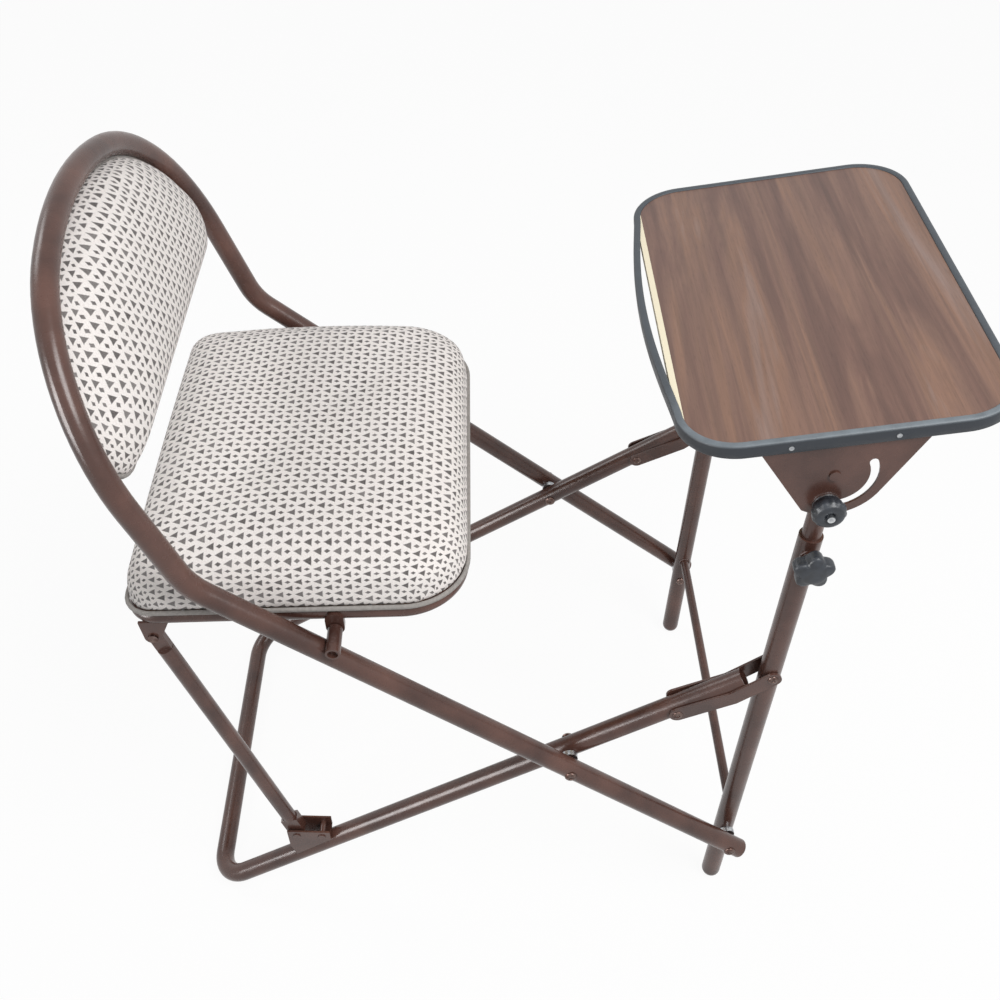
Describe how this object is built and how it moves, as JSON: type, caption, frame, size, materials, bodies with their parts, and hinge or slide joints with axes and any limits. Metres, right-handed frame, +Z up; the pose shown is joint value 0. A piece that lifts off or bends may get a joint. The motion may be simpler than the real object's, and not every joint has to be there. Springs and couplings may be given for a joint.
{
  "type": "folding prayer chair",
  "caption": "Folding tube-framed chair with padded seat and backrest and a tilting, height-adjustable reading desk on telescoping posts.",
  "frame": {"origin": "on the floor, at the middle of the bounding box's underside, with the chair unfolded", "axes": "+X the way the sitter faces, towards the desk; +Y to the sitter's left; +Z up"},
  "size_m": [0.7293, 0.434, 0.78],
  "materials": {
    "painted_tube": "brown powder coat, soft gloss",
    "zinc_steel": "zinc plated, dull",
    "seat_fabric": "woven off-white cloth with rows of small dark triangles and dashes",
    "board_wood": "brown wood-grain laminate and plain board, satin",
    "board_core": "raw cream board core",
    "edging_rubber": "dark slate, satin",
    "knob_plastic": "moulded dark slate plastic"
  },
  "bodies": {
    "base": {"base_tube": "painted_tube", "strut_brackets": "painted_tube", "bracket_pins": "painted_tube"},
    "back": {"scissor_rivets": "zinc_steel", "scissor_spacers": "zinc_steel", "back_tube": "painted_tube", "back_end_caps": "painted_tube", "seat_pivot_bushes": "painted_tube", "backrest_board": "board_wood", "backrest_cushion": "seat_fabric", "backrest_tabs": "painted_tube", "backrest_screws": "zinc_steel", "leg_pivot_rivets": "zinc_steel", "leg_pivot_spacers": "zinc_steel"},
    "seat": {"seat_ring": "painted_tube", "seat_board": "board_wood", "seat_cushion": "seat_fabric", "seat_board_screws": "zinc_steel", "seat_pivot_pins": "painted_tube", "strut_lugs": "painted_tube", "strut_hinge_rivets": "zinc_steel"},
    "struts": {"left_strut": "painted_tube", "right_strut": "painted_tube"},
    "legs": {"left_leg_tube": "painted_tube", "right_leg_tube": "painted_tube", "leg_feet": "painted_tube", "leg_cross_rod": "painted_tube", "height_bosses": "painted_tube"},
    "links": {"outer_link_plates": "painted_tube", "inner_link_plates": "painted_tube", "link_base_rivets": "zinc_steel", "link_leg_rivets": "zinc_steel"},
    "posts": {"left_desk_post": "painted_tube", "right_desk_post": "painted_tube", "tilt_pivot_rivets": "painted_tube"},
    "desk": {"desk_board": "board_core", "desk_laminate": "board_wood", "desk_edging": "edging_rubber", "edging_nails": "zinc_steel", "left_tilt_plate": "painted_tube", "right_tilt_plate": "painted_tube", "tilt_plate_screws": "zinc_steel"},
    "left_tilt_knob": {"left_tilt_knob": "knob_plastic", "left_tilt_stud": "zinc_steel", "left_tilt_washer": "zinc_steel"},
    "right_tilt_knob": {"right_tilt_knob": "knob_plastic", "right_tilt_stud": "zinc_steel", "right_tilt_washer": "zinc_steel"},
    "left_height_knob": {"left_height_knob": "knob_plastic", "left_height_stud": "zinc_steel"},
    "right_height_knob": {"right_height_knob": "knob_plastic", "right_height_stud": "zinc_steel"}
  },
  "joints": [
    {"name": "back_fold", "type": "hinge", "parent": "base", "child": "back", "pos_m": [0.0371, 0, 0.255], "axis": [0, 1, 0], "range_deg": [0, 85]},
    {"name": "seat_fold", "type": "hinge", "parent": "back", "child": "seat", "pos_m": [-0.16691, 0, 0.4546], "axis": [0, 1, 0], "range_deg": [-118.5, 0]},
    {"name": "strut_fold", "type": "hinge", "parent": "seat", "child": "struts", "pos_m": [-0.32491, 0, 0.443], "axis": [0, 1, 0], "range_deg": [0, 100.5]},
    {"name": "legs_fold", "type": "hinge", "parent": "back", "child": "legs", "pos_m": [0.20764, 0, 0.10518], "axis": [0, 1, 0], "range_deg": [-33.2, 0]},
    {"name": "links_fold", "type": "hinge", "parent": "base", "child": "links", "pos_m": [0.13662, 0, 0.3184], "axis": [0, 1, 0], "range_deg": [0, 134]},
    {"name": "desk_height", "type": "slide", "parent": "legs", "child": "posts", "axis": [0.0401, 0, 0.9992], "range_m": [-0.015, 0.1]},
    {"name": "desk_tilt", "type": "hinge", "parent": "posts", "child": "desk", "pos_m": [0.22818, 0, 0.61677], "axis": [0, 1, 0], "range_deg": [-6, 97]},
    {"name": "left_tilt_knob_turn", "type": "hinge", "parent": "posts", "child": "left_tilt_knob", "pos_m": [0.22698, 0.2, 0.58679], "axis": [0, 1, 0], "range_deg": [0, 360]},
    {"name": "right_tilt_knob_turn", "type": "hinge", "parent": "posts", "child": "right_tilt_knob", "pos_m": [0.22698, -0.2, 0.58679], "axis": [0, -1, 0], "range_deg": [0, 360]},
    {"name": "left_height_knob_turn", "type": "hinge", "parent": "legs", "child": "left_height_knob", "pos_m": [0.22453, 0.2, 0.52584], "axis": [0, 1, 0], "range_deg": [0, 360]},
    {"name": "right_height_knob_turn", "type": "hinge", "parent": "legs", "child": "right_height_knob", "pos_m": [0.22453, -0.2, 0.52584], "axis": [0, -1, 0], "range_deg": [0, 360]}
  ],
  "couplings": [
    {"joint": "seat_fold", "follows": "back_fold", "ratio": -1.389},
    {"joint": "strut_fold", "follows": "back_fold", "ratio": 1.18},
    {"joint": "legs_fold", "follows": "back_fold", "ratio": -0.3868},
    {"joint": "links_fold", "follows": "back_fold", "ratio": 1.5692}
  ]
}
